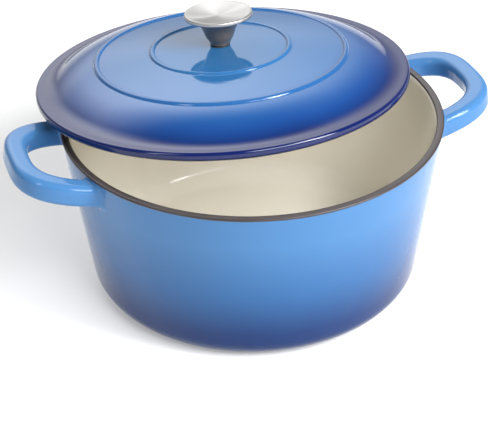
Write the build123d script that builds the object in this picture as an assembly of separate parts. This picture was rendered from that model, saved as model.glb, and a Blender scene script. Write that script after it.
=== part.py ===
from build123d import *
import math
import os

# Round enamelled cast iron dutch oven: a tapered pot with two cast loop handles, and a domed lid
# with a steel knob.  The lid lies askew on the rim, slid to the back and tipped down behind.
# Millimetres.  Origin: centre of the pot's foot, on the floor.  +X: along the handles.  +Z: up.

os.makedirs("parts", exist_ok=True)

# ---- pot ----
rim_radius = 131.0  # outside of the wall at the top of the rim
pot_height = 124.0  # floor to the top of the rim
base_radius = 114.4  # where the wall's straight line would meet the floor
wall_thickness = 5.0  # iron and both coats
base_thickness = 5.5  # iron and both coats
outer_corner = 16.0  # outside curve between wall and underside
inner_corner = 18.0  # inside curve between wall and floor
foot_setback = 0.4  # outside of the bare foot ring, inside the start of the outer corner
foot_width = 5.0
foot_height = 0.8  # how far the foot ring stands below the coated underside
underside_recess = 1.0  # hollow inside the foot ring, above the coated underside
coat = 0.5  # every enamel coat
rim_lap_inside = 1.2  # how far the rim's dark coat comes down the inside
rim_bevel = 0.6  # along the top, at each of the rim's two edges

# ---- loop handles ----
handle_reach = 39.2  # rim to the outside of the loop
handle_half_width = 49.5
handle_bar = 14.5  # width of the loop's bar, seen from above
handle_thickness = 15.4
handle_drop = 2.8  # top of the handle below the rim, at the wall
handle_rise = 10.9  # upward slope of the loop, degrees
handle_root = 31.0  # how far inside the rim radius the loop's outline starts
handle_power = 3.0  # squareness of the loop's outline
handle_edge = 4.4  # rounding of the bar's edges
handle_root_round = 1.4  # fillet where the bar meets the wall

# ---- lid, in its own frame: z = 0 is the underside of the flange ----
lid_overhang = 0.0  # edge of the lid beyond the rim, when the lid is on straight
flange_thickness = 6.0
flange_round = 2.0
flange_width = 9.26  # edge of the lid to the foot of the cove
lid_thickness = 5.0  # iron and both coats
dome_radius = 580.0
shoulder_radius = 70.0
shoulder_fall = 36.53  # slope of the shoulder where it meets the cove, degrees
cove_radius = 6.0
lip_clearance = 3.5  # lip to the inside of the rim, when the lid is on straight
lip_width = 4.0
lip_depth = 3.5
rim_coat_height = 1.0  # the lid's dark coat comes this far up the flange's edge
outer_bead_offset = 0.2  # from where the dome turns into the shoulder to the outer raised ring
inner_bead_place = 47.9  # radius of the inner raised ring
bead_radius = 2.0
bead_sink = 0.6  # centre of the bead's circle below the surface

# ---- lid's resting place ----
lid_slide_back = 42.3
lid_slide_side = -6.7
lid_tip = 6.07  # degrees
lid_tip_heading = 94.3  # degrees from +X, the side that is tipped down
rest_gap = 0.3  # air between the lid's lip and the rim

# ---- knob and its fixings ----
screw_radius = 2.5
screw_length = 16.0
screw_clearance = 0.3  # in the lid and the gasket
washer_clearance = 0.08
thread_clearance = 0.06
screw_head_radius = 4.8
screw_head_height = 3.0
drive_width = 1.2
drive_span = 5.2
drive_depth = 1.8
washer_radius = 6.0
washer_thickness = 1.0
spring_washer_radius = 4.5
spring_washer_thickness = 1.3
spring_washer_gap = 1.2
gasket_radius = 6.9
gasket_thickness = 0.8
knob_height = 24.2  # lid's top to the knob's edge
knob_radius = 23.7
knob_edge_height = 2.7
knob_dish = 2.4
knob_skin = 1.2
knob_base_radius = 7.2
knob_waist = ((9.4, 4.8), (12.4, 11.2))  # stem radius and height above its base
knob_base_round = 1.4
insert_radius = 5.0
insert_length = 13.0
insert_floor = 2.0
shell_gap = 0.4  # between the knob's top plate and the stem's turned-out edge

foot_radius = base_radius - outer_corner - foot_setback
lid_radius = rim_radius + lid_overhang
wall_angle = math.atan((rim_radius - base_radius) / pot_height)
rim_lap_outside = handle_drop - handle_root_round  # the dark coat ends above the loops' root fillets


def wall_radius(height, inset):
    """Radius of the pot's tapered wall at a height, moved inwards by inset."""
    return base_radius + height * math.tan(wall_angle) - inset / math.cos(wall_angle)


def turned(face):
    """Solid turned about the vertical axis from a face drawn as (radius, height)."""
    return revolve(Plane.XZ * face, Axis.Z)


def ring(inner, outer, low, high):
    """Flat-sided ring between two radii and two heights."""
    return turned(make_face(Polyline((inner, low), (outer, low), (outer, high), (inner, high), close=True)))


def disc(outer, low, high):
    return ring(0, outer, low, high)


def bowl(low, high, inset, corner):
    """Solid with a flat bottom, a rounded corner and the pot's tapered wall."""
    foot = (wall_radius(low, inset), low)
    top = (wall_radius(high, inset), high)
    outline = FilletPolyline((0, low), foot, top, radius=corner) + Polyline(top, (0, high), (0, low))
    return turned(make_face(outline))


def loop_outline(inset, shrink):
    """Half loop of a rounded square outline, closed by a straight line inside the pot."""
    length = handle_reach / math.cos(math.radians(handle_rise)) + handle_root - inset - shrink
    half = handle_half_width - inset - shrink
    points = []
    for step in range(17):
        turn = math.pi * (step / 16 - 0.5)
        along = length * abs(math.cos(turn)) ** (2 / handle_power)
        across = math.copysign(half * abs(math.sin(turn)) ** (2 / handle_power), turn)
        points.append((along - handle_root, across))
    curve = Spline(*points, tangents=[(1, 0), (-1, 0)])
    return make_face(curve + Line(points[-1], points[0]))


def handle(side, inset):
    """One cast loop about its middle plane, inset by the coat all round."""
    rise = math.radians(handle_rise)
    middle = handle_thickness / 2
    start = (side * rim_radius, 0, pot_height - handle_drop - middle)
    outwards = (side * math.cos(rise), 0, math.sin(rise))
    upwards = (-side * math.sin(rise), 0, math.cos(rise))
    plane = Plane(origin=start, x_dir=outwards, z_dir=upwards)
    face = loop_outline(inset, 0) - loop_outline(-inset, handle_bar)
    bar = extrude(face, middle - inset, both=True)
    rims = bar.edges().filter_by(GeomType.BSPLINE)
    return plane * fillet(rims, handle_edge - inset)


def pot_with_handles(inset):
    """Pot's outside as a full solid with both handles and their root fillets."""
    body = bowl(foot_height + inset, pot_height - inset, inset, outer_corner - inset)
    hollow = bowl(base_thickness + wall_thickness, pot_height, wall_thickness + inset, inner_corner)
    result = body
    for side in (1, -1):
        loop = handle(side, inset) - hollow
        joined = result + loop
        seam = new_edges(result, loop, combined=joined).filter_by(lambda e: e.center().Z > outer_corner)
        result = fillet(seam, handle_root_round + inset)
    return result


def plug(low, high):
    """Everything inside the line of the wall between two heights."""
    return turned(
        make_face(Polyline((0, low), (wall_radius(low, 0), low), (wall_radius(high, 0), high), (0, high), close=True))
    )


def pot_parts():
    """Iron casting with its loops, and the enamel on each of its faces."""
    outside = pot_with_handles(0)
    core = pot_with_handles(coat)
    hollow = bowl(base_thickness, pot_height, wall_thickness, inner_corner)
    iron_hollow = bowl(base_thickness - coat, pot_height, wall_thickness - coat, inner_corner + coat)
    recess_radius = foot_radius - foot_width
    recess_top = foot_height + underside_recess
    foot = ring(recess_radius, foot_radius, 0, foot_height + coat)
    recess = disc(recess_radius, 0, recess_top + coat)
    rim_low = pot_height - rim_lap_outside
    under_rim = pot_height - rim_lap_inside
    return {
        "pot_casting": core - iron_hollow + foot - recess,
        "pot_outer_enamel": outside - core - plug(rim_low, pot_height) - disc(foot_radius, 0, recess_top + coat),
        "pot_inner_enamel": iron_hollow - hollow - disc(rim_radius, under_rim, pot_height),
        "pot_rim_enamel": rim_cap(rim_low, under_rim),
        "pot_base_enamel": disc(recess_radius, recess_top, recess_top + coat),
    }


def rim_cap(rim_low, under_rim):
    """Dark coat folded over the top of the wall, with both its edges bevelled."""
    iron_top = pot_height - coat
    iron_inside = wall_thickness - coat
    corners = [
        (wall_radius(rim_low, 0), rim_low),
        (wall_radius(pot_height, 0), pot_height),
        (wall_radius(pot_height, wall_thickness), pot_height),
        (wall_radius(under_rim, wall_thickness), under_rim),
        (wall_radius(under_rim, iron_inside), under_rim),
        (wall_radius(iron_top, iron_inside), iron_top),
        (wall_radius(iron_top, coat), iron_top),
        (wall_radius(rim_low, coat), rim_low),
    ]
    section = make_face(Polyline(corners, close=True))
    top_corners = section.vertices().filter_by(lambda v: abs(v.Y - pot_height) < rim_bevel / 10)
    return turned(chamfer(top_corners, rim_bevel))


# ---- lid: the section is set out from its edge inwards, cove, shoulder, then a dome that is
# tangent to the shoulder.  Its arcs keep their centres, so every coat is a true offset ----
lip_outer = rim_radius - wall_thickness / math.cos(wall_angle) - lip_clearance
lip_inner = lip_outer - lip_width
lip_middle = lip_outer - lip_width / 2
cove_angle = math.radians(shoulder_fall)
cove_x = lid_radius - flange_width
cove_z = flange_thickness + cove_radius
shoulder_x = cove_x - (shoulder_radius + cove_radius) * math.sin(cove_angle)
shoulder_z = cove_z - (shoulder_radius + cove_radius) * math.cos(cove_angle)
dome_angle = math.asin(shoulder_x / (dome_radius - shoulder_radius))
dome_centre = shoulder_z - (dome_radius - shoulder_radius) * math.cos(dome_angle)
dome_reach = dome_radius * math.sin(dome_angle)
lid_crown = dome_centre + dome_radius
bead_places = (dome_reach + outer_bead_offset, inner_bead_place)
screw_hole = screw_radius + screw_clearance


def arc(centre_x, centre_z, radius, start, end):
    """Arc between two angles measured from straight up, clockwise, in radians."""
    begin = 90 - math.degrees(start)
    return CenterArc((centre_x, centre_z), radius, begin, math.degrees(start - end))


def lid_surface(depth, end_angle):
    """Dome and shoulder at a depth below the lid's top, from the screw hole outwards."""
    hole_angle = math.asin(screw_hole / (dome_radius - depth))
    dome = arc(0, dome_centre, dome_radius - depth, hole_angle, dome_angle)
    shoulder = arc(shoulder_x, shoulder_z, shoulder_radius - depth, dome_angle, end_angle)
    return dome + shoulder


def bead(radius, inset):
    """Section of a raised ring that stands on the dome."""
    reach = min(radius, dome_reach)
    height = dome_centre + math.sqrt(dome_radius**2 - reach**2) - bead_sink
    return Pos(radius, height) * Circle(bead_radius - inset)


def lid_section(inset):
    """Lid's section, moved inwards on every face by inset."""
    depth = lid_thickness - inset
    under_radius = shoulder_radius - depth
    lip_wall = lip_inner + inset
    under_angle = math.asin((lip_wall - shoulder_x) / under_radius)
    top = lid_surface(inset, cove_angle)
    cove = CenterArc(
        (cove_x, cove_z), cove_radius + inset, 270 - math.degrees(cove_angle), math.degrees(cove_angle)
    )
    edge = lid_radius - inset
    round_edge = flange_round - inset
    flange = FilletPolyline(
        (cove_x, flange_thickness - inset),
        (edge, flange_thickness - inset),
        (edge, inset),
        (lip_outer - inset, inset),
        radius=round_edge,
    )
    lip_round_z = lip_width / 2 - lip_depth
    lip_side = Line((lip_outer - inset, inset), (lip_outer - inset, lip_round_z))
    lip_round = CenterArc((lip_middle, lip_round_z), lip_width / 2 - inset, 0, -180)
    lip_back = Line((lip_wall, lip_round_z), (lip_wall, shoulder_z + under_radius * math.cos(under_angle)))
    under = lid_surface(depth, under_angle)
    hole = Line(top @ 0, under @ 0)
    face = make_face(top + cove + flange + lip_side + lip_round + lip_back + under + hole)
    for place in bead_places:
        face += bead(place, inset)
    return face


def lid_parts():
    """Iron lid and the enamel on its top, its inside and its seat."""
    iron = lid_section(coat)
    band = lid_section(0) - iron
    below = -lip_depth - coat
    seat_zone = make_face(
        Polyline(
            (lip_middle, below),
            (lid_radius + coat, below),
            (lid_radius + coat, rim_coat_height),
            (lip_middle, rim_coat_height),
            close=True,
        )
    )
    half = lid_thickness / 2
    end_angle = math.asin((lip_middle - shoulder_x) / (shoulder_radius - half))
    middle = lid_surface(half, end_angle)
    inside_zone = make_face(middle + Polyline(middle @ 1, (lip_middle, below), (screw_hole, below), middle @ 0))
    return {
        "lid_casting": turned(iron),
        "lid_outer_enamel": turned(band - seat_zone - inside_zone),
        "lid_inner_enamel": turned(band & inside_zone),
        "lid_seat_enamel": turned(band & seat_zone),
    }


# ---- knob, stacked on the lid's top ----
lid_top = dome_centre + math.sqrt(dome_radius**2 - screw_hole**2)
knob_base = lid_top + gasket_thickness
knob_top = lid_crown + knob_height
washer_face = dome_centre + math.sqrt((dome_radius - lid_thickness) ** 2 - washer_radius**2)
spring_face = washer_face - washer_thickness
head_face = spring_face - spring_washer_thickness


def stem_curve(inwards):
    """Flared side of the stem, moved towards the axis."""
    places = [(knob_base_radius, knob_base_round)]
    places += list(knob_waist)
    places.append((knob_radius - knob_skin - shell_gap, knob_top - knob_base - knob_edge_height + knob_skin))
    return [(radius - inwards, knob_base + height) for radius, height in places]


def knob_stem():
    """Hollow flared stem, closed by a floor with a hole for the screw."""
    outer = stem_curve(0)
    inner = stem_curve(knob_skin)
    floor = knob_base + knob_skin
    foot = knob_base_radius - knob_base_round
    toe = CenterArc((foot, knob_base + knob_base_round), knob_base_round, 270, 90)
    side = Spline(*outer, tangents=[(0.3, 1), (1, 0.25)])
    inside = Spline(*inner, tangents=[(0.3, 1), (1, 0.25)])
    lines = toe + side + Line(outer[-1], inner[-1]) + inside
    lines += Polyline(inner[0], (inner[0][0], floor), (screw_hole, floor), (screw_hole, knob_base), (foot, knob_base))
    return turned(make_face(lines))


def knob_plate():
    """Dished top plate with its rim turned down."""
    crest = knob_radius - knob_skin
    low = knob_top - knob_edge_height
    lines = Polyline(
        (0, knob_top - knob_dish - knob_skin),
        (0, knob_top - knob_dish),
        (crest, knob_top),
    )
    lines += CenterArc((crest, knob_top - knob_skin), knob_skin, 90, -90)
    lines += Polyline(
        (knob_radius, knob_top - knob_skin),
        (knob_radius, low),
        (crest, low),
        (crest, knob_top - knob_skin),
        (0, knob_top - knob_dish - knob_skin),
    )
    return turned(make_face(lines))


def spring_washer():
    """Split ring, cut through on one side."""
    low = spring_face - spring_washer_thickness
    washer = ring(screw_radius + washer_clearance, spring_washer_radius, low, spring_face)
    cut = Pos(spring_washer_radius, 0, (low + spring_face) / 2)
    return washer - cut * Box(spring_washer_radius, spring_washer_gap, spring_washer_thickness)


def knob_screw():
    """Pan-head screw with a cross drive, driven up from under the lid."""
    low = head_face - screw_head_height
    head = disc(screw_head_radius, low, head_face)
    head = fillet(head.edges().sort_by(Axis.Z)[0], screw_head_height / 3)
    shank = disc(screw_radius, head_face, head_face + screw_length)
    shank = chamfer(shank.edges().sort_by(Axis.Z)[-1], screw_radius / 5)
    slot = Pos(0, 0, low + drive_depth / 2) * Box(drive_span, drive_width, drive_depth)
    return head + shank - slot - Rot(0, 0, 90) * slot


def knob_parts():
    thread = screw_radius + thread_clearance
    insert_low = knob_base + knob_skin
    insert = ring(0, insert_radius, insert_low, insert_low + insert_length)
    insert -= disc(thread, insert_low, insert_low + insert_length - insert_floor)
    bore = screw_radius + washer_clearance
    return {
        "knob_plate": knob_plate(),
        "knob_stem": knob_stem(),
        "knob_insert": insert,
        "knob_gasket": ring(screw_hole, gasket_radius, lid_top, knob_base),
        "flat_washer": ring(bore, washer_radius, spring_face, washer_face),
        "spring_washer": spring_washer(),
        "knob_screw": knob_screw(),
    }


def lid_place():
    """Plane of the lid askew: its lip just clears the rim where the two circles cross."""
    tip = math.radians(lid_tip)
    heading = math.radians(lid_tip_heading)
    away = (math.cos(heading), math.sin(heading))
    offset = math.hypot(lid_slide_side, lid_slide_back)
    along = (rim_radius**2 - lip_middle**2 + offset**2) / (2 * offset)
    across = math.sqrt(rim_radius**2 - along**2)
    unit = (lid_slide_side / offset, lid_slide_back / offset)
    falls = []
    for side in (1, -1):
        x = along * unit[0] + side * across * unit[1] - lid_slide_side
        y = along * unit[1] - side * across * unit[0] - lid_slide_back
        falls.append((x * away[0] + y * away[1]) * math.tan(tip))
    height = pot_height + rest_gap + lip_depth / math.cos(tip) + max(falls)
    normal = (math.sin(tip) * away[0], math.sin(tip) * away[1], math.cos(tip))
    return Plane(origin=(lid_slide_side, lid_slide_back, height), x_dir=(math.cos(tip), 0, -normal[0]), z_dir=normal)


parts = pot_parts()
place = lid_place()
for name, solid in (lid_parts() | knob_parts()).items():
    parts[name] = place * solid
for name, solid in parts.items():
    export_step(solid, f"parts/{name}.step")
print("lid origin", place.origin, "normal", place.z_dir)
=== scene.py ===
import math

import bmesh
import bpy
import numpy as np
from mathutils import Matrix, Vector


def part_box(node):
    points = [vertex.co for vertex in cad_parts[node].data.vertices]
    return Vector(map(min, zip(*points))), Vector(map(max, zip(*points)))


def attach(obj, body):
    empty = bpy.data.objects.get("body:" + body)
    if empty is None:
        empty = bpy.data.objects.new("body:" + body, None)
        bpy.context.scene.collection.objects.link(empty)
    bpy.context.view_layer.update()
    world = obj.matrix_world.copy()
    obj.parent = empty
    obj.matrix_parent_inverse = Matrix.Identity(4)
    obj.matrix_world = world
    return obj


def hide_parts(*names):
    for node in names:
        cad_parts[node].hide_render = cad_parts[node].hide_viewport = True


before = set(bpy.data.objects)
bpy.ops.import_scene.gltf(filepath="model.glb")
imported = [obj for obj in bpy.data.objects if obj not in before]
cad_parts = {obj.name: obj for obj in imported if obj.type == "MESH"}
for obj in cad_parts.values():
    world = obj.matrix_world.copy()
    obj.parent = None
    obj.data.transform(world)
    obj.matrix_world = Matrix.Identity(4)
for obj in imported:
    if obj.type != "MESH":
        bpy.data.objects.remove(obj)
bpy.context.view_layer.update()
mm = 0.001


# ---------------------------------------------------------------------------------------------
# Outer enamel of the pot.  Blue glass fired on the outside of the casting in one skin: underside
# edge, tapered wall and both cast loop handles, with a soft fillet where each leg grows out of
# the wall.  Sky blue at the rim, sprayed darker towards the foot.
# ---------------------------------------------------------------------------------------------
pot_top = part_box("pot_rim_enamel")[1].z
rim_radius = 131 * mm
base_radius = 114.4 * mm
underside = 0.8 * mm
outer_corner = 16 * mm
foot_radius = 98 * mm
glaze_thickness = 0.4 * mm
glaze_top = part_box("pot_rim_enamel")[0].z
lean = math.atan2(rim_radius - base_radius, pot_top)

columns = 400  # squares round the pot
leg_squares = 14  # squares across and up the patch of wall that each leg grows from
patch_low = 97.5 * mm
patch_top = glaze_top - 0.15 * mm

loop_reach = 170.2 * mm
loop_half_width = 49.5 * mm
loop_bar = 14.5 * mm
loop_thickness = 15.4 * mm
loop_edge = 4.4 * mm
loop_drop = 2.8 * mm
loop_rise = math.radians(10.9)
loop_root = 31 * mm  # how far inside the wall the loop's outline starts
loop_power = 3.0  # squareness of the outline
root_fillet = 4.2 * mm


def wall_radius(z, inset=0.0):
    """Radius of the tapered wall: a straight line from foot to rim, moved in by inset."""
    return base_radius + z * math.tan(lean) - inset / math.cos(lean)


def arc(centre, radius, start, end, steps):
    """Points (radius, height) on a circle from one angle to another, in degrees."""
    angle = np.radians(np.linspace(start, end, steps + 1))
    return np.stack([centre[0] + radius * np.cos(angle), centre[1] + radius * np.sin(angle)], -1)


def line(start, end, steps):
    """Points evenly spaced on a straight line."""
    share = np.linspace(0, 1, steps + 1)[:, None]
    return np.asarray(start) * (1 - share) + np.asarray(end) * share


def chain(*stretches):
    """Stretches of points joined end to end, without the points that they share."""
    return np.concatenate([stretches[0]] + [stretch[1:] for stretch in stretches[1:]])


def round_and_up(radius, angle, z):
    """Points in space from a radius, an angle about the vertical axis and a height."""
    return np.stack(np.broadcast_arrays(radius * np.cos(angle), radius * np.sin(angle), z), -1)


def squares(rows, across, closed):
    """Corner numbers of a grid's squares, stored row by row; closed joins the last column to the first."""
    row, col = np.meshgrid(np.arange(rows - 1), np.arange(across if closed else across - 1), indexing="ij")
    right = (col + 1) % across
    corners = [row * across + col, row * across + right, (row + 1) * across + right, (row + 1) * across + col]
    return np.stack(corners, -1).reshape(-1, 4)


def make_piece(name, points, faces, own=None):
    """Mesh of the points and faces, with doubles merged and stray points dropped."""
    mesh = bpy.data.meshes.new(name)
    mesh.from_pydata(points.tolist(), [], faces.tolist())
    if own is not None:
        place = mesh.attributes.new("own_place", "FLOAT_VECTOR", "POINT")
        place.data.foreach_set("vector", own.astype(np.float32).ravel())
    shell = bmesh.new()
    shell.from_mesh(mesh)
    bmesh.ops.remove_doubles(shell, verts=shell.verts, dist=0.002 * mm)
    bmesh.ops.delete(shell, geom=[v for v in shell.verts if not v.link_faces], context="VERTS")
    shell.to_mesh(mesh)
    shell.free()
    mesh.shade_smooth()
    piece = bpy.data.objects.new(name, mesh)
    bpy.context.scene.collection.objects.link(piece)
    return piece


def fit(piece, body, finish, paint, *stands_for):
    """Puts a finished piece on its body, with its paint's material, in place of its CAD nodes; finish is not
    used.
    """
    piece.data.materials.append(paint.material)
    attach(piece, body)
    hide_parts(*stands_for)
    return piece


def skinned(piece, thickness):
    """Gives a surface its thickness, on the side away from where it faces."""
    skin = piece.modifiers.new("thickness", "SOLIDIFY")
    skin.thickness = thickness
    skin.offset = -1
    return piece


def bar_section():
    """Ring of points round the loop's bar: outward offset and height on a rounded rectangle.

    Each side has half a corner, a straight and half a corner, so corner points meet patch corners."""
    turn_in_side = np.array([45, 60, 75] + [90] * 9 + [105, 120])
    share_in_side = np.concatenate([np.zeros(3), np.linspace(0, 1, 9), np.ones(2)])
    side = np.repeat(np.arange(4), leg_squares)
    turn = np.radians(np.tile(turn_in_side, 4) + 90 * side)
    share = np.tile(share_in_side, 4)[:, None]
    half = np.array([loop_bar / 2, loop_thickness / 2]) - loop_edge
    corners = np.array([[1, 1], [-1, 1], [-1, -1], [1, -1]]) * half
    centre = corners[side] * (1 - share) + corners[(side + 1) % 4] * share
    return centre[:, 0] + loop_edge * np.cos(turn), centre[:, 1] + loop_edge * np.sin(turn)


def patch_ring():
    """Ring of points round a square patch: 0 to 1 from inside to outside of the leg, and upwards."""
    step = np.arange(leg_squares) / leg_squares
    one, none = np.ones(leg_squares), np.zeros(leg_squares)
    return np.concatenate([1 - step, none, step, one]), np.concatenate([one, 1 - step, none, step])


def loop_point(along, outward, height):
    """Point on the loop: its outline is a squared-off ellipse, |u/a|^n + |v/b|^n = 1, in a sloping plane.

    along runs from 0 to 1 by length from one root to the other, outward and height lie in the bar."""
    fine = np.linspace(0, np.pi, 6001)
    reach = (loop_reach - rim_radius) / math.cos(loop_rise) + loop_root

    def outline(turn, offset):
        a = reach - loop_bar / 2 + offset
        b = loop_half_width - loop_bar / 2 + offset
        u = a * np.abs(np.sin(turn)) ** (2 / loop_power) - loop_root
        v = -b * np.sign(np.cos(turn)) * np.abs(np.cos(turn)) ** (2 / loop_power)
        return u, v

    middle = np.stack(outline(fine, 0.0), -1)
    length = np.concatenate([[0], np.cumsum(np.linalg.norm(np.diff(middle, axis=0), axis=1))])
    u, v = outline(np.interp(along, length / length[-1], fine), outward)
    x = rim_radius + u * math.cos(loop_rise) - height * math.sin(loop_rise)
    z = pot_top - loop_drop - loop_thickness / 2 + u * math.sin(loop_rise) + height * math.cos(loop_rise)
    return np.stack(np.broadcast_arrays(x, v, z), -1), length[-1]


def loop_handle():
    """Grid of one handle: patch edge, wall up to the fillet, fillet, bar, and the same mirrored.

    The fillet is a conic arc from the wall to the bar, whose corner is where the two would meet."""
    outward, height = bar_section()
    low, high = np.zeros(len(outward)), np.full(len(outward), 0.3)
    for _ in range(40):
        half = (low + high) / 2
        place, loop_length = loop_point(half, outward, height)
        outside = np.hypot(place[:, 0], place[:, 1]) > wall_radius(place[:, 2])
        low, high = np.where(outside, low, half), np.where(outside, half, high)
    seam, _ = loop_point(half, outward, height)
    angle, level = np.arctan2(seam[:, 1], seam[:, 0]), seam[:, 2]
    flat = np.stack([angle * rim_radius, level], -1)
    run = np.roll(flat, -1, 0) - np.roll(flat, 1, 0)
    away = np.stack([run[:, 1], -run[:, 0]], -1) / np.linalg.norm(run, axis=1)[:, None]
    away *= np.sign(((flat - flat.mean(0)) * away).sum(1).mean())
    room = (patch_top - 0.12 * mm - level) / np.maximum(away[:, 1], 0.05)
    fillet = np.minimum(root_fillet, room)
    foot_angle = angle + fillet * away[:, 0] / rim_radius
    foot_level = level + fillet * away[:, 1]
    foot = round_and_up(wall_radius(foot_level), foot_angle, foot_level)
    shoulder, _ = loop_point(half + fillet / loop_length, outward, height)
    across, up = patch_ring()
    step = 2 * math.pi / columns
    edge_angle = -step * leg_squares * (1 + across)
    edge_level = patch_low + up * (patch_top - patch_low)
    share = np.linspace(0, 1, 5)[:-1, None]
    on_wall_angle = edge_angle * (1 - share) + foot_angle * share
    on_wall_level = edge_level * (1 - share) + foot_level * share
    on_wall = round_and_up(wall_radius(on_wall_level), on_wall_angle, on_wall_level)
    t = np.linspace(0, 1, 9)[:-1, None, None]
    weight = [(1 - t) ** 2, math.sqrt(2) * t * (1 - t), t**2]
    curve = (weight[0] * foot + weight[1] * seam + weight[2] * shoulder) / sum(weight)
    root = np.concatenate([on_wall, curve])
    start = half + fillet / loop_length
    along = start + np.linspace(0, 1, 121)[:, None] * (1 - 2 * start)
    bar, _ = loop_point(along, outward, height)
    return np.concatenate([root, bar, root[::-1] * [1, -1, 1]])


def pot_skin():
    """Wall of revolution with four square gaps, and two handle grids that close them."""
    corner_z = underside + outer_corner
    corner_r = wall_radius(corner_z) - outer_corner / math.cos(lean)
    curve = arc((corner_r, corner_z), outer_corner, -90, -math.degrees(lean), 16)
    profile = chain(
        line((foot_radius, underside), (corner_r, underside), 3),
        curve,
        line(curve[-1], (wall_radius(patch_low), patch_low), 40),
        line((wall_radius(patch_low), patch_low), (wall_radius(patch_top), patch_top), leg_squares),
        line((wall_radius(patch_top), patch_top), (wall_radius(glaze_top), glaze_top), 1),
    )
    angle = np.arange(columns) * 2 * math.pi / columns
    wall = round_and_up(profile[:, :1], angle, profile[:, 1:])
    faces = squares(len(profile), columns, True)
    row, col = faces[:, 0] // columns, faces[:, 0] % columns
    half = columns // 2
    fold = np.minimum(col % half, half - 1 - col % half)
    gap_row = len(profile) - 2 - leg_squares
    gap = (row >= gap_row) & (row < gap_row + leg_squares)
    gap &= (fold >= leg_squares) & (fold < 2 * leg_squares)
    handle = loop_handle()
    ring = squares(len(handle), handle.shape[1], True)[:, ::-1]
    points = [wall.reshape(-1, 3), handle.reshape(-1, 3), handle.reshape(-1, 3) * [-1, -1, 1]]
    parts = [faces[~gap], ring + wall.size // 3, ring + wall.size // 3 + handle.size // 3]
    return np.concatenate(points), np.concatenate(parts)


class Wire:
    """A shader socket that can be added, subtracted, multiplied and divided like a number."""

    def __init__(self, paint, socket):
        self.paint, self.socket = paint, socket

    def __add__(self, other):
        return self.paint.math("ADD", self, other)

    def __radd__(self, other):
        return self.paint.math("ADD", other, self)

    def __sub__(self, other):
        return self.paint.math("SUBTRACT", self, other)

    def __mul__(self, other):
        return self.paint.math("MULTIPLY", self, other)

    def __truediv__(self, other):
        return self.paint.math("DIVIDE", self, other)


class Paint:
    """A finish, built node by node."""

    def __init__(self, name, kind=None):
        self.material = (bpy.data.materials if kind is None else kind).new(name)
        self.material.use_nodes = True
        self.tree = self.material.node_tree
        self.tree.nodes.clear()

    def node(self, kind, settings, inputs, output=0):
        """Adds a node, sets it, then fills or links its sockets, and gives one of its outputs."""
        made = self.tree.nodes.new("ShaderNode" + kind)
        for key, value in settings.items():
            if key == "stops":
                while len(made.color_ramp.elements) < len(value):
                    made.color_ramp.elements.new(0.5)
                for stop, (place, shade) in zip(made.color_ramp.elements, value):
                    stop.position, stop.color = place, shade
            else:
                setattr(made, key, value)
        for key, value in inputs.items():
            if isinstance(value, Wire):
                self.tree.links.new(value.socket, made.inputs[key])
            else:
                made.inputs[key].default_value = value
        return Wire(self, made.outputs[output])

    def math(self, operation, first, second):
        return self.node("Math", {"operation": operation}, {0: first, 1: second})

    def mix(self, share, first, second):
        """Colour between two colours."""
        settings = {"data_type": "RGBA"}
        return self.node("Mix", settings, {"Factor": share, 6: first, 7: second}, 2)

    def place(self):
        """Object coordinates, in metres."""
        return self.node("TexCoord", {}, {}, 3)

    def axis(self, place, number):
        """One of a place's three numbers."""
        return self.node("SeparateXYZ", {}, {"Vector": place}, number)

    def noise(self, place, scale, detail=2.0, roughness=0.5):
        return self.node(
            "TexNoise", {}, {"Vector": place, "Scale": scale, "Detail": detail, "Roughness": roughness}
        )

    def bump(self, height, distance, strength=1.0):
        return self.node("Bump", {}, {"Height": height, "Distance": distance, "Strength": strength})

    def ramp(self, value, start, end, low=0.0, high=1.0):
        """Smooth step from low to high while the value goes from start to end."""
        inputs = {"Value": value, "From Min": start, "From Max": end, "To Min": low, "To Max": high}
        return self.node("MapRange", {"interpolation_type": "SMOOTHSTEP"}, inputs)

    def surface(self, inputs, kind="BsdfPrincipled", end="OutputMaterial"):
        """Ends the finish in one shader."""
        shader = self.node(kind, {}, inputs)
        out = self.tree.nodes.new("ShaderNode" + end)
        self.tree.links.new(shader.socket, out.inputs["Surface"])


def colour(red, green, blue):
    """Linear colour from screen values of 0 to 255."""
    screen = np.array([red, green, blue]) / 255
    linear = np.where(screen <= 0.04045, screen / 12.92, ((screen + 0.055) / 1.055) ** 2.4)
    return tuple(float(x) for x in linear) + (1.0,)


def enamel(paint, shade, gloss=0.07, ior=1.36):
    """Fired glass: a smooth clear gloss over the shade, with the slow ripple of a sprayed coat."""
    place = paint.place()
    ripple = paint.noise(place, 55.0, 1.0)
    grain = paint.noise(place, 900.0, 2.0)
    height = ripple + grain * 0.02
    worn = paint.noise(place, 30.0, 3.0)
    paint.surface(
        {
            "Base Color": shade,
            "Roughness": gloss + worn * 0.05,
            "IOR": ior,
            "Normal": paint.bump(height, 0.05 * mm),
        }
    )


blue_light = colour(67, 116, 166)
blue_middle = colour(42, 92, 145)
blue_deep = colour(0, 36, 88)

pot_paint = Paint("pot_blue_enamel")
pot_place = pot_paint.place()
pot_height = pot_paint.axis(pot_place, 2)
pot_drift = pot_paint.noise(pot_place, 18.0, 3.0)
pot_level = pot_height / pot_top + (pot_drift - 0.5) * 0.06
pot_shade = pot_paint.node(
    "ValToRGB",
    {"stops": [(0.0, blue_deep), (0.18, colour(2, 44, 98)), (0.46, blue_middle), (0.8, blue_light)]},
    {"Fac": pot_level},
)
enamel(pot_paint, pot_shade)

pot_outer = skinned(make_piece("pot_outer_glaze", *pot_skin()), glaze_thickness)
fit(pot_outer, "pot", "blue_enamel", pot_paint, "pot_outer_enamel")


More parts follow.
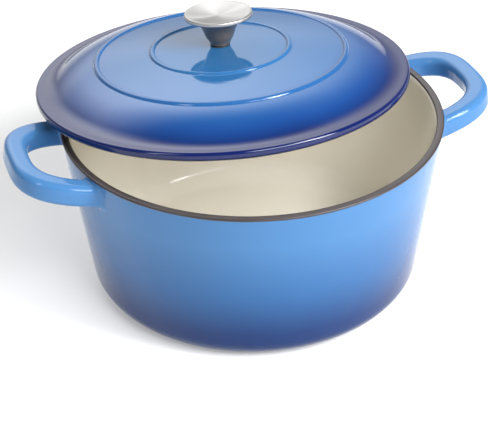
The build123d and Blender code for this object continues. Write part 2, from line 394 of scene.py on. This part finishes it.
# ---------------------------------------------------------------------------------------------
# Inner enamel of the pot.  Cream glass on the inside wall, the wide corner and the floor, fired
# on the casting in one skin up to the dark rim.
# ---------------------------------------------------------------------------------------------
wall_thickness = 5 * mm
floor_level = 5.5 * mm
inner_corner = 18 * mm
under_rim = pot_top - 1.2 * mm


def lathe(profile, steps=288):
    """Surface of revolution: each (radius, height) of the profile, turned about the vertical axis.

    The outside is on the right of the profile's direction."""
    angle = np.arange(steps) * 2 * math.pi / steps
    points = round_and_up(profile[:, :1], angle, profile[:, 1:])
    return points.reshape(-1, 3), squares(len(profile), steps, True)


cream_paint = Paint("cream_enamel")
cream_place = cream_paint.place()
cream_cloud = cream_paint.noise(cream_place, 14.0, 4.0, 0.6)
cream_shade = cream_paint.mix(cream_cloud, colour(250, 247, 238), colour(244, 239, 226))
enamel(cream_paint, cream_shade, 0.1)

corner_z = floor_level + inner_corner
corner_r = wall_radius(corner_z, wall_thickness + inner_corner)
inner_arc = arc((corner_r, corner_z), inner_corner, -math.degrees(lean), -90, 20)
inner_profile = chain(
    line((wall_radius(under_rim, wall_thickness), under_rim), inner_arc[0], 30),
    inner_arc,
    line(inner_arc[-1], (0, floor_level), 24),
)
pot_inner = skinned(make_piece("pot_inner_glaze", *lathe(inner_profile)), glaze_thickness)
fit(pot_inner, "pot", "cream_enamel", cream_paint, "pot_inner_enamel")


# ---------------------------------------------------------------------------------------------
# Rim coat of the pot.  Charcoal ground coat, brushed over the top of the wall after the other
# glazes, so its lower edge wanders a little on the blue.
# ---------------------------------------------------------------------------------------------
rim_round = 1 * mm
brush_wave = 0.16 * mm

dark_paint = Paint("dark_enamel")
dark_place = dark_paint.place()
dark_grain = dark_paint.noise(dark_place, 1400.0, 3.0, 0.6)
dark_cloud = dark_paint.noise(dark_place, 60.0, 3.0)
dark_shade = dark_paint.mix(dark_cloud, colour(44, 38, 40), colour(66, 58, 59))
dark_paint.surface(
    {
        "Base Color": dark_shade,
        "Roughness": 0.32 + dark_cloud * 0.12,
        "Normal": dark_paint.bump(dark_grain, 0.06 * mm, 0.6),
    }
)


def brushed_edge(angle):
    """Slow wander of a brushed edge, up and down, as a sum of whole waves round the rim."""
    waves = np.sin(5 * angle + 1) + 0.6 * np.sin(13 * angle) + 0.4 * np.sin(31 * angle + 2)
    return brush_wave * waves / 2


proud = 0.03 * mm
glaze_end = wall_radius(glaze_top)
tucked_in = glaze_end - glaze_thickness
tuck_top = pot_top - 0.5 * mm
round_start = pot_top - rim_round
rim_outside = wall_radius(pot_top) - rim_round
rim_inside = wall_radius(pot_top, wall_thickness) + rim_round
rim_shape = chain(
    line((tucked_in, tuck_top), (tucked_in, glaze_top), 1),
    line((tucked_in, glaze_top), (glaze_end + proud, glaze_top), 1),
    line((glaze_end + proud, glaze_top), (rim_outside + rim_round, round_start), 2),
    arc((rim_outside, round_start), rim_round, 0, 90, 8),
    arc((rim_inside, round_start), rim_round, 90, 180, 8),
    line((rim_inside - rim_round, round_start), (wall_radius(under_rim, wall_thickness), under_rim), 1),
)
rim_points, rim_faces = lathe(rim_shape)
on_edge = np.abs(rim_points[:, 2] - glaze_top) < 0.01 * mm
edge_heading = np.arctan2(rim_points[on_edge, 1], rim_points[on_edge, 0])
rim_points[on_edge, 2] += brushed_edge(edge_heading) - brush_wave
rim = make_piece("pot_rim_coat", rim_points, rim_faces)
fit(rim, "pot", "dark_enamel", dark_paint, "pot_rim_enamel")


# ---------------------------------------------------------------------------------------------
# Underside of the pot.  A thin blue coat in the shallow recess, and the bare iron foot ring,
# ground flat on a belt, which is the casting itself.
# ---------------------------------------------------------------------------------------------
recess_radius = 93 * mm
recess_level = 1.8 * mm
recess = line((0, recess_level), (recess_radius, recess_level), 24)
base_coat = skinned(make_piece("pot_base_coat", *lathe(recess)), glaze_thickness)
fit(base_coat, "pot", "blue_enamel", pot_paint, "pot_base_enamel")

iron_paint = Paint("cast_iron")
iron_place = iron_paint.place()
iron_pits = iron_paint.noise(iron_place, 700.0, 4.0, 0.65)
iron_scratch = iron_paint.node("Mapping", {}, {"Vector": iron_place, "Scale": (300.0, 9000.0, 9000.0)})
iron_lines = iron_paint.noise(iron_scratch, 1.0, 2.0)
iron_rust = iron_paint.noise(iron_place, 40.0, 3.0)
iron_shade = iron_paint.mix(iron_rust, (0.075, 0.072, 0.072, 1), (0.11, 0.098, 0.09, 1))
iron_paint.surface(
    {
        "Base Color": iron_shade,
        "Metallic": 0.85,
        "Roughness": 0.42 + iron_lines * 0.22,
        "Normal": iron_paint.bump(iron_pits + iron_lines * 0.5, 0.08 * mm),
    }
)
for casting in ("pot_casting", "lid_casting"):
    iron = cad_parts[casting]
    iron.data.materials.clear()
    iron.data.materials.append(iron_paint.material)


# ---------------------------------------------------------------------------------------------
# Outer enamel of the lid.  Blue glass over flange, cove, shoulder and a low dome with two raised
# rings; sky blue in the middle, sprayed navy from the shoulder to the edge.  The lid lies askew:
# slid back over the rim and tipped down behind.
# ---------------------------------------------------------------------------------------------
lid_origin = np.array([-6.7, 42.3, 129.877]) * mm
lid_tip = math.radians(6.07)
lid_tip_heading = math.radians(94.3)
lid_lean = math.sin(lid_tip)
lid_up = np.array(
    [lid_lean * math.cos(lid_tip_heading), lid_lean * math.sin(lid_tip_heading), math.cos(lid_tip)]
)
lid_right = np.array([lid_up[2], 0, -lid_up[0]]) / math.hypot(lid_up[2], lid_up[0])
lid_axes = np.stack([lid_right, np.cross(lid_up, lid_right), lid_up])

lid_radius = 131 * mm
flange = 6 * mm
flange_round = 2 * mm
flange_width = 9.26 * mm
cove_radius = 6 * mm
glaze_cove = 20 * mm  # the glaze pools in the cove and softens it
shoulder_radius = 70 * mm
shoulder_fall = math.radians(36.53)
dome_radius = 580 * mm
lid_thickness = 5 * mm
dark_turn = 30  # degrees of the edge's lower round that stay blue, above the seat's dark coat
screw_hole = 2.8 * mm
inner_bead = 47.9 * mm
bead_radius = 2 * mm
bead_sink = 0.6 * mm
bead_root = 0.5 * mm
outer_bead_offset = 0.2 * mm  # from where the dome ends

cove = np.array([lid_radius - flange_width, flange + cove_radius])
fall = np.array([math.sin(shoulder_fall), math.cos(shoulder_fall)])
shoulder = cove - (shoulder_radius + cove_radius) * fall
dome_angle = math.asin(shoulder[0] / (dome_radius - shoulder_radius))
dome_centre = shoulder[1] - (dome_radius - shoulder_radius) * math.cos(dome_angle)
dome_reach = dome_radius * math.sin(dome_angle)


def on_lid(piece_points):
    """Points in the lid's own frame, moved to where the lid lies."""
    return piece_points @ lid_axes + lid_origin


def lid_piece(name, profile, steps=288):
    """Turned piece on the lid, which keeps each point's place in the lid's own frame."""
    points, faces = lathe(profile, steps)
    return make_piece(name, on_lid(points), faces, points)


def lid_level(radius, depth=0.0):
    """Height of the dome, and of the shoulder beyond it, at a depth under the top."""
    dome = dome_centre + np.sqrt((dome_radius - depth) ** 2 - radius**2)
    edge = np.sqrt(np.maximum((shoulder_radius - depth) ** 2 - (radius - shoulder[0]) ** 2, 0))
    turn_radius = (dome_radius - depth) * math.sin(dome_angle)
    return np.where(radius < turn_radius, dome, shoulder[1] + edge)


def bead_lift(radius, middle):
    """Half-round ring that stands on the lid, with a soft root: (c + sqrt(c^2 + s^2)) / 2.

    c is the ring's height over the lid, carried on down beyond it, and s the size of the root."""
    off = np.abs(radius - middle)
    half_round = np.sqrt(np.maximum(bead_radius**2 - off**2, 0)) - bead_sink
    circle = half_round - 3 * np.maximum(off - bead_radius, 0)
    return (circle + np.sqrt(circle**2 + bead_root**2)) / 2


def turned_place(paint):
    """Place in the lid's own frame, and its distance from the lid's axis."""
    place = paint.node("Attribute", {"attribute_name": "own_place"}, {}, 1)
    flat = paint.node("VectorMath", {"operation": "MULTIPLY"}, {0: place, 1: (1.0, 1.0, 0.0)})
    return place, paint.node("VectorMath", {"operation": "LENGTH"}, {0: flat}, 1)


pool_rise = flange + glaze_cove - shoulder[1]
pool_reach = math.sqrt((shoulder_radius + glaze_cove) ** 2 - pool_rise**2)
pool = shoulder + [pool_reach, pool_rise]
pool_angle = math.atan2(pool_reach, pool_rise)
cove_end = pool[0] - glaze_cove * math.sin(pool_angle)
outer_bead = dome_reach + outer_bead_offset
near_bead = 4 * mm
radii = np.concatenate(
    [
        np.linspace(cove_end, outer_bead + near_bead, 18)[1:-1],
        np.linspace(outer_bead + near_bead, outer_bead - near_bead, 32)[:-1],
        np.linspace(outer_bead - near_bead, inner_bead + near_bead, 12)[:-1],
        np.linspace(inner_bead + near_bead, inner_bead - near_bead, 32)[:-1],
        np.linspace(inner_bead - near_bead, screw_hole, 14),
    ]
)
top_level = lid_level(radii) + bead_lift(radii, outer_bead) + bead_lift(radii, inner_bead)
edge_centre = lid_radius - flange_round
lid_top_profile = chain(
    arc((edge_centre, flange_round), flange_round, -dark_turn, 0, 3),
    line((lid_radius, flange_round), (lid_radius, flange - flange_round), 2),
    arc((edge_centre, flange - flange_round), flange_round, 0, 90, 8),
    line((edge_centre, flange), (pool[0], flange), 3),
    arc(pool, glaze_cove, -90, -90 - math.degrees(pool_angle), 14),
)
lid_top_profile = np.concatenate([lid_top_profile, np.stack([radii, top_level], -1)])

lid_paint = Paint("lid_blue_enamel")
own, own_radius = turned_place(lid_paint)
spray = lid_paint.noise(own, 16.0, 3.0)
lid_reach = own_radius / lid_radius + (spray - 0.5) * 0.05
lid_shade = lid_paint.node(
    "ValToRGB",
    {
        "stops": [
            (0.0, colour(46, 104, 154)),
            (0.60, colour(40, 96, 150)),
            (0.74, colour(28, 82, 142)),
            (0.84, colour(14, 60, 124)),
            (0.93, colour(2, 22, 80)),
        ]
    },
    {"Fac": lid_reach},
)
enamel(lid_paint, lid_shade, 0.05, 1.5)
lid_outer = skinned(lid_piece("lid_outer_glaze", lid_top_profile), glaze_thickness)
fit(lid_outer, "lid", "blue_enamel", lid_paint, "lid_outer_enamel")


# ---------------------------------------------------------------------------------------------
# Underside of the lid.  Cream glass under the dome and down the inside of the locating lip, and
# a charcoal ground coat on the lip's outside, the seat and the bottom of the edge.
# ---------------------------------------------------------------------------------------------
lip_clearance = 3.5 * mm
lip_depth = 3.5 * mm
lip_radius = 2 * mm
lip_outer = rim_radius - wall_thickness / math.cos(lean) - lip_clearance
lip_middle = lip_outer - lip_radius
lip_bottom = lip_radius - lip_depth
dome_end_below = 85 * mm

under = np.concatenate(
    [
        np.linspace(screw_hole, dome_end_below - 1 * mm, 24),
        np.linspace(dome_end_below + 1 * mm, lip_outer - 2 * lip_radius, 24),
    ]
)
under_profile = np.concatenate(
    [
        np.stack([under, lid_level(under, lid_thickness)], -1),
        arc((lip_middle, lip_bottom), lip_radius, 180, 270, 8),
    ]
)
lid_inner = skinned(lid_piece("lid_inner_glaze", under_profile), glaze_thickness)
fit(lid_inner, "lid", "cream_enamel", cream_paint, "lid_inner_enamel")

seat_profile = chain(
    arc((lip_middle, lip_bottom), lip_radius, -90, 0, 8),
    line((lip_outer, lip_bottom), (lip_outer, 0), 2),
    line((lip_outer, 0), (edge_centre, 0), 3),
    arc((edge_centre, flange_round), flange_round, -90, -dark_turn, 6),
)
lid_seat = skinned(lid_piece("lid_seat_coat", seat_profile), glaze_thickness)
fit(lid_seat, "lid", "dark_enamel", dark_paint, "lid_seat_enamel")


# ---------------------------------------------------------------------------------------------
# Knob.  Spun stainless steel: a dished plate with its rim turned down, pressed over the flared
# edge of a hollow stem, on a thin black silicone ring.
# ---------------------------------------------------------------------------------------------
lid_top = dome_centre + math.sqrt(dome_radius**2 - screw_hole**2)
gasket_thickness = 0.8 * mm
knob_base = lid_top + gasket_thickness
knob_height = 24.2 * mm
knob_top = dome_centre + dome_radius + knob_height
knob_radius = 23.7 * mm
knob_skin = 1.2 * mm
knob_dish = 2.4 * mm
knob_edge = 2.7 * mm
knob_lip_round = 0.3 * mm
shell_gap = 0.4 * mm  # between the plate's rim and the stem's flared edge


def closed(profile):
    """Profile joined back to its first point."""
    return np.concatenate([profile, profile[:1]])


def smooth_curve(places, start, end, steps):
    """Cubic spline through the places, by length of chord, with its first and last direction given."""
    places = np.asarray(places, float)
    chord = np.linalg.norm(np.diff(places, axis=0), axis=1)
    reach = np.concatenate([[0], np.cumsum(chord)])
    count = len(places)
    system, known = np.zeros((count, count)), np.zeros((count, 2))
    system[0, 0] = system[-1, -1] = 1
    known[0] = np.asarray(start) / np.linalg.norm(start)
    known[-1] = np.asarray(end) / np.linalg.norm(end)
    pick = np.arange(1, count - 1)
    system[pick, pick - 1], system[pick, pick + 1] = chord[1:], chord[:-1]
    system[pick, pick] = 2 * (chord[1:] + chord[:-1])
    slope = np.diff(places, axis=0) / chord[:, None]
    known[pick] = 3 * (chord[1:, None] * slope[:-1] + chord[:-1, None] * slope[1:])
    tangent = np.linalg.solve(system, known)
    at = np.linspace(0, reach[-1], steps + 1)
    span = np.clip(np.searchsorted(reach, at, side="right") - 1, 0, count - 2)
    length = chord[span][:, None]
    t = (at - reach[span])[:, None] / length
    near = (1 + 2 * t) * (1 - t) ** 2 * places[span] + t * (1 - t) ** 2 * length * tangent[span]
    far = t**2 * (3 - 2 * t) * places[span + 1] + t**2 * (t - 1) * length * tangent[span + 1]
    return near + far


def spun_steel(name, tone, roughness, anisotropy, metallic=1.0, clear=0.0):
    """Stainless steel turned on a lathe: fine rings round the lid's axis, in bump and roughness.

    metallic below 1 gives duller steel, and clear lays a gloss over it."""
    paint = Paint(name)
    place, radius = turned_place(paint)
    height = paint.axis(place, 2)
    rings = paint.node("CombineXYZ", {}, {0: radius * 9000.0, 1: height * 9000.0, 2: 0.0})
    groove = paint.noise(rings, 1.0, 3.0, 0.7)
    broad = paint.node("CombineXYZ", {}, {0: radius * 900.0, 1: height * 900.0, 2: 0.0})
    band = paint.noise(broad, 1.0, 2.0)
    smear = paint.noise(place, 90.0, 3.0)
    paint.surface(
        {
            "Base Color": paint.mix(band, tone, tuple(c * 0.9 for c in tone[:3]) + (1,)),
            "Metallic": metallic,
            "Roughness": roughness + groove * 0.08 + smear * 0.05,
            "Anisotropic": anisotropy,
            "Coat Weight": clear,
            "Coat Roughness": 0.16,
            "Normal": paint.bump(groove, 0.006 * mm, 0.5),
        }
    )
    return paint


plate_crest = knob_radius - knob_skin
plate_low = knob_top - knob_edge
plate_lip = (knob_radius - knob_lip_round, plate_low + knob_lip_round)
dish_radius = np.linspace(plate_crest, 0, 40)
dish_level = knob_top - knob_dish * (1 - (dish_radius / plate_crest) ** 1.5)
plate_profile = chain(
    line((0, knob_top - knob_dish - knob_skin), (plate_crest, knob_top - knob_skin), 6),
    line((plate_crest, knob_top - knob_skin), (plate_crest, plate_low), 2),
    line((plate_crest, plate_low), (plate_lip[0], plate_low), 2),
    arc(plate_lip, knob_lip_round, -90, 0, 4),
    line((knob_radius, plate_lip[1]), (knob_radius, knob_top - knob_skin), 3),
    arc((plate_crest, knob_top - knob_skin), knob_skin, 0, 90, 10),
    np.stack([dish_radius, dish_level], -1),
)
plate_paint = spun_steel("spun_steel_plate", (0.45, 0.445, 0.44, 1), 0.27, 0.9)
plate = lid_piece("knob_top_plate", plate_profile, 192)
fit(plate, "lid", "spun_steel", plate_paint, "knob_plate")

stem_foot = 7.2 * mm
stem_round = 1.4 * mm
stem_edge = knob_radius - knob_skin - shell_gap
stem_top = plate_low + knob_skin
stem_places = np.array(
    [
        (stem_foot, knob_base + stem_round),
        (9.1 * mm, knob_base + 4.8 * mm),
        (11.6 * mm, knob_base + 11.2 * mm),
        (stem_edge, stem_top),
    ]
)
stem_start, stem_end = (0.3, 1), (1, 0.25)  # directions in which the side leaves and arrives
stem_side = smooth_curve(stem_places, stem_start, stem_end, 36)
stem_inside = smooth_curve(stem_places - [knob_skin, 0], stem_start, stem_end, 12)[::-1]
stem_profile = closed(
    np.concatenate(
        [
            line((screw_hole, knob_base), (stem_foot - stem_round, knob_base), 2)[:-1],
            arc((stem_foot - stem_round, knob_base + stem_round), stem_round, -90, 0, 8)[:-1],
            stem_side,
            stem_inside,
            [(stem_foot - knob_skin, knob_base + knob_skin), (screw_hole, knob_base + knob_skin)],
        ]
    )
)
stem_paint = spun_steel("spun_steel_stem", (0.16, 0.13, 0.11, 1), 0.30, 0.6, 0.35, 0.9)
stem = lid_piece("knob_flared_stem", stem_profile, 128)
fit(stem, "lid", "spun_steel", stem_paint, "knob_stem")

gasket_paint = Paint("silicone")
gasket_dust = gasket_paint.noise(gasket_paint.place(), 1500.0, 3.0)
gasket_paint.surface(
    {
        "Base Color": gasket_paint.mix(gasket_dust, (0.012, 0.014, 0.014, 1), (0.03, 0.033, 0.033, 1)),
        "Roughness": 0.5 + gasket_dust * 0.2,
    }
)
gasket_radius = 6.9 * mm
gasket_half = gasket_thickness / 2
gasket_profile = closed(
    np.concatenate(
        [
            [(screw_hole, lid_top)],
            arc((gasket_radius - gasket_half, lid_top + gasket_half), gasket_half, -90, 90, 10),
            [(screw_hole, knob_base)],
        ]
    )
)
gasket = lid_piece("knob_seal", gasket_profile, 96)
fit(gasket, "lid", "gasket_rubber", gasket_paint, "knob_gasket")


# ---------------------------------------------------------------------------------------------
# Fixings under the lid.  A flat washer and a split spring washer under an M5 pan-head screw with
# a cross drive, which pulls the knob down through its threaded insert.
# ---------------------------------------------------------------------------------------------
screw_radius = 2.5 * mm
washer_bore = 2.58 * mm
washer_radius = 6 * mm
washer_thickness = 1 * mm
spring_radius = 4.5 * mm
spring_thickness = 1.3 * mm
head_radius = 4.8 * mm
head_height = 3 * mm
head_round = 0.6 * mm
screw_length = 16 * mm
screw_tip = 0.5 * mm
pitch = 0.8 * mm
thread_depth = 0.2 * mm
cross_reach = 2.6 * mm
cross_half_width = 0.6 * mm
cross_depth = 1.8 * mm
cross_taper = 0.35 * mm
split_half = math.radians(9)
split_rise = 0.15 * mm
washer_face = dome_centre + math.sqrt((dome_radius - lid_thickness) ** 2 - washer_radius**2)
spring_face = washer_face - washer_thickness
head_face = spring_face - spring_thickness
head_low = head_face - head_height

bright_paint = Paint("bright_steel")
bright_marks = bright_paint.noise(bright_paint.place(), 500.0, 3.0)
bright_paint.surface(
    {
        "Base Color": bright_paint.mix(bright_marks, (0.60, 0.60, 0.60, 1), (0.50, 0.50, 0.51, 1)),
        "Metallic": 1.0,
        "Roughness": 0.22 + bright_marks * 0.16,
    }
)
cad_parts["knob_insert"].data.materials.clear()
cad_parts["knob_insert"].data.materials.append(bright_paint.material)

bevel = 0.15 * mm
washer_profile = closed(
    np.array(
        [
            (washer_bore, spring_face),
            (washer_radius - bevel, spring_face),
            (washer_radius, spring_face + bevel),
            (washer_radius, washer_face - bevel),
            (washer_radius - bevel, washer_face),
            (washer_bore, washer_face),
        ]
    )
)
washer = lid_piece("flat_steel_washer", washer_profile, 96)
fit(washer, "lid", "bright_steel", bright_paint, "flat_washer")


def split_ring():
    """Square wire bent nearly full circle: a rectangle carried along one turn of a shallow helix."""
    rows = 97
    share = np.linspace(0, 1, rows)[:, None]
    turn = split_half + share * (2 * math.pi - 2 * split_half)
    wire = spring_thickness - split_rise
    radius = np.array([washer_bore, washer_bore, spring_radius, spring_radius])
    level = head_face + np.array([0, wire, wire, 0])
    points = round_and_up(radius, turn, level + split_rise * share).reshape(-1, 3)
    ends = np.array([[3, 2, 1, 0], [0, 1, 2, 3] + np.full(4, 4 * (rows - 1))])
    return points, np.concatenate([squares(rows, 4, True), ends])


spring_points, spring_faces = split_ring()
spring = make_piece("split_spring_washer", on_lid(spring_points), spring_faces)
fit(spring, "lid", "bright_steel", bright_paint, "spring_washer")


def screw_surface():
    """Screw as one turned surface: cross cut into its head, thread wound round its shank.

    The cross is two tapered slots cut up into the head, the thread a wave of radius along a helix."""
    flat_edge = head_radius - head_round
    tip = head_face + screw_length
    profile = np.concatenate(
        [
            line((0, head_low), (flat_edge, head_low), 47),
            arc((flat_edge, head_low + head_round), head_round, -90, 0, 8)[1:],
            [(head_radius, head_face)],
            line((screw_radius, head_face), (screw_radius, tip - screw_tip), 199),
            [(screw_radius - screw_tip, tip), (0, tip)],
        ]
    )
    steps = 96
    angle = np.arange(steps) * 2 * math.pi / steps
    radius, level = (np.repeat(profile[:, i : i + 1], steps, 1) for i in (0, 1))
    x, y = np.abs(radius * np.cos(angle)), np.abs(radius * np.sin(angle))

    def slot(along, across):
        """Share of the slot's depth, from 1 inside it to 0 outside."""
        side = np.clip((cross_half_width + cross_taper - across) / cross_taper, 0, 1)
        return side * np.clip((cross_reach - along) / cross_taper, 0, 1)

    cross = cross_depth * np.maximum(slot(x, y), slot(y, x))
    level = level + np.where(profile[:, 1:] < head_low + 0.001 * mm, cross, 0)
    on_shank = (profile[:, 1:] > head_face + pitch) & (radius > screw_radius * 0.99)
    wave = np.cos(2 * math.pi * level / pitch - angle)
    radius = radius - np.where(on_shank, thread_depth * (1 - wave), 0)
    return round_and_up(radius, angle, level).reshape(-1, 3), squares(len(profile), steps, True)


screw_points, screw_faces = screw_surface()
screw = make_piece("knob_fixing_screw", on_lid(screw_points), screw_faces)
fit(screw, "lid", "bright_steel", bright_paint, "knob_screw")


# ---------------------------------------------------------------------------------------------
# Floor, camera and lights.
# ---------------------------------------------------------------------------------------------
floor_paint = Paint("floor_white")
floor_paint.surface(
    {
        "Base Color": (0.70, 0.70, 0.70, 1),
        "Roughness": 0.7,
        "Emission Color": (1.0, 1.0, 1.0, 1),
        "Emission Strength": 0.26,
    }
)
half_floor = 6.0
floor_points = np.array([[-1, -1, 0], [1, -1, 0], [1, 1, 0], [-1, 1, 0]]) * half_floor
floor = make_piece("floor", floor_points, np.array([[0, 1, 2, 3]]))
floor.data.materials.append(floor_paint.material)

camera_turn = math.radians(18.77)
camera_elevation = math.radians(35.47)
camera_distance = 1.0929
camera_pan = -0.0025
camera_tilt = 0.0335
camera_roll = math.radians(-1.17)
camera_lens = 107.64  # millimetres, on a frame 36 wide

level_right = Vector((math.cos(camera_turn), -math.sin(camera_turn), 0))
sight = Vector((math.sin(camera_turn), math.cos(camera_turn), 0)) * math.cos(camera_elevation)
sight.z = -math.sin(camera_elevation)
camera_place = -sight * camera_distance
sight_up = level_right.cross(sight)
aim = (sight + level_right * math.tan(camera_pan) + sight_up * math.tan(camera_tilt)).normalized()
right = aim.cross(Vector((0, 0, 1))).normalized()
up = right.cross(aim)
rolled_right = right * math.cos(camera_roll) + up * math.sin(camera_roll)
rolled_up = up * math.cos(camera_roll) - right * math.sin(camera_roll)
camera_data = bpy.data.cameras.new("camera")
camera_data.lens = camera_lens
camera_data.sensor_width = 36
camera = bpy.data.objects.new("camera", camera_data)
camera.matrix_world = Matrix.Translation(camera_place) @ Matrix(
    (rolled_right, rolled_up, -aim)
).transposed().to_4x4()
bpy.context.scene.collection.objects.link(camera)
bpy.context.scene.camera = camera


def softbox(name, turn, elevation, distance, width, height, brightness):
    """Rectangular lamp that faces the pot; turn 0 is behind it as the camera sees it."""
    heading = camera_turn + math.radians(turn)
    rise = math.radians(elevation)
    away = Vector((math.sin(heading) * math.cos(rise), math.cos(heading) * math.cos(rise), math.sin(rise)))
    data = bpy.data.lights.new(name, "AREA")
    data.shape = "RECTANGLE"
    data.size, data.size_y = width, height
    data.energy = brightness * width * height * math.pi
    lamp = bpy.data.objects.new(name, data)
    lamp.location = away * distance + Vector((0, 0, 0.1))
    lamp.rotation_mode = "QUATERNION"
    lamp.rotation_quaternion = away.to_track_quat("Z", "Y")
    bpy.context.scene.collection.objects.link(lamp)


softbox("key_panel", 142, 41, 2.4, 1.5, 0.9, 13.0)
softbox("right_window", 118, 36, 2.0, 0.45, 1.6, 19.0)
softbox("left_window", -135, 36, 2.2, 0.25, 1.6, 6.0)

# Sky: a pale room with one large soft panel behind the pot, which fades at all its edges.
sky = Paint("studio", bpy.data.worlds)
direction = sky.node("TexCoord", {}, {}, 0)
east, north, height = (sky.axis(direction, number) for number in range(3))
behind = east * math.sin(camera_turn) + north * math.cos(camera_turn)
aside = east * math.cos(camera_turn) - north * math.sin(camera_turn)
panel = sky.ramp(height, 0.0, 0.25, 0.3) * sky.ramp(height, 0.92, 0.58) * sky.ramp(behind, 0.05, 0.45)
panel = panel * sky.ramp(aside, -0.85, -0.35) * sky.ramp(aside, 0.5, -0.2)
level = sky.ramp(height, 0.25, 0.64, 1.5, 3.6)
sky.surface({"Color": (1.0, 1.0, 1.0, 1), "Strength": 0.26 + panel * level}, "Background", "OutputWorld")
bpy.context.scene.world = sky.material
bpy.context.scene.view_settings.view_transform = "Standard"
